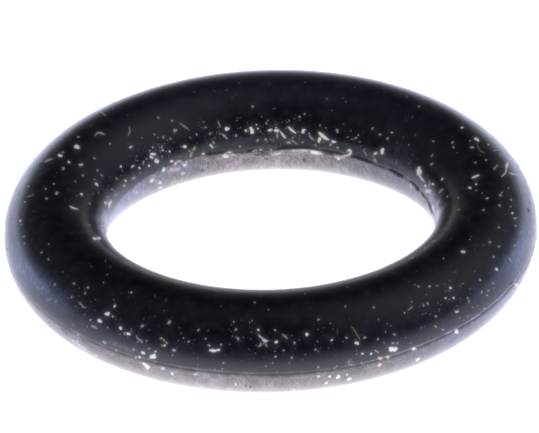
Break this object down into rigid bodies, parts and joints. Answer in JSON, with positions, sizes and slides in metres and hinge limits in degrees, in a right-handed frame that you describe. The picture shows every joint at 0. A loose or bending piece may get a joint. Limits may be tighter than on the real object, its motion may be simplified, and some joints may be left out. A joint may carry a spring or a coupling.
{
  "type": "o-ring",
  "caption": "Round black rubber sealing ring of circular section, with a trimmed moulding seam along its outside and its bore.",
  "frame": {"origin": "middle of the ring, on the plane that it lies on", "axes": "+Z along the ring's axis, up from the plane that it lies on; X and Y are any two directions across it, as the ring is round"},
  "size_m": [0.013, 0.013, 0.0025],
  "materials": {
    "black_rubber": "smooth moulded black rubber with a slight sheen, dusted with pale grains and short fibres"
  },
  "bodies": {
    "root": {"seal_ring": "black_rubber"}
  },
  "joints": []
}
